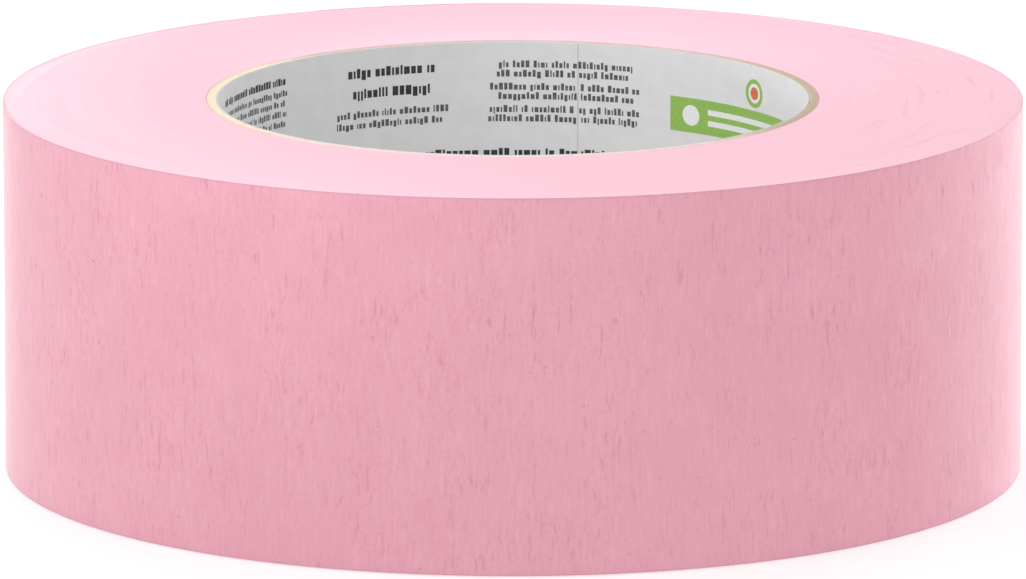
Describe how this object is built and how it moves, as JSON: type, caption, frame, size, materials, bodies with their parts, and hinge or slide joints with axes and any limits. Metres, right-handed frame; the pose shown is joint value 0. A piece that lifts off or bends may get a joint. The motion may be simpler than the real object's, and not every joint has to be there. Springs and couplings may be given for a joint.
{
  "type": "masking tape roll",
  "caption": "Wide roll of pink crepe-paper masking tape on a layered paperboard core with a printed paper liner and a free end that peels up.",
  "frame": {"origin": "centre of the roll's lower end, on the roll's axis", "axes": "+Z along the roll's axis, up from the end that the roll lies on; +Y towards the line where the free end starts"},
  "size_m": [0.1313, 0.1315, 0.048],
  "materials": {
    "liner_paper": "smooth printed paper",
    "inner_board": "raw cut paperboard",
    "middle_board": "raw cut paperboard",
    "outer_board": "raw cut paperboard",
    "tape_edge": "smooth cut edges of the wound turns",
    "tape_backing": "matt crepe paper",
    "adhesive": "tacky satin film"
  },
  "bodies": {
    "roll": {"printed_liner": "liner_paper", "core_inner_ply": "inner_board", "core_middle_ply": "middle_board", "core_outer_ply": "outer_board", "tape_coil": "tape_edge", "tape_last_turn": "tape_backing"},
    "free_end": {"tail_backing": "tape_backing", "tail_adhesive": "adhesive"}
  },
  "joints": [
    {"name": "free_end_peel", "type": "hinge", "parent": "roll", "child": "free_end", "pos_m": [0, 0.06584, 0.024], "axis": [0, 0, -1], "range_deg": [0, 120]}
  ]
}
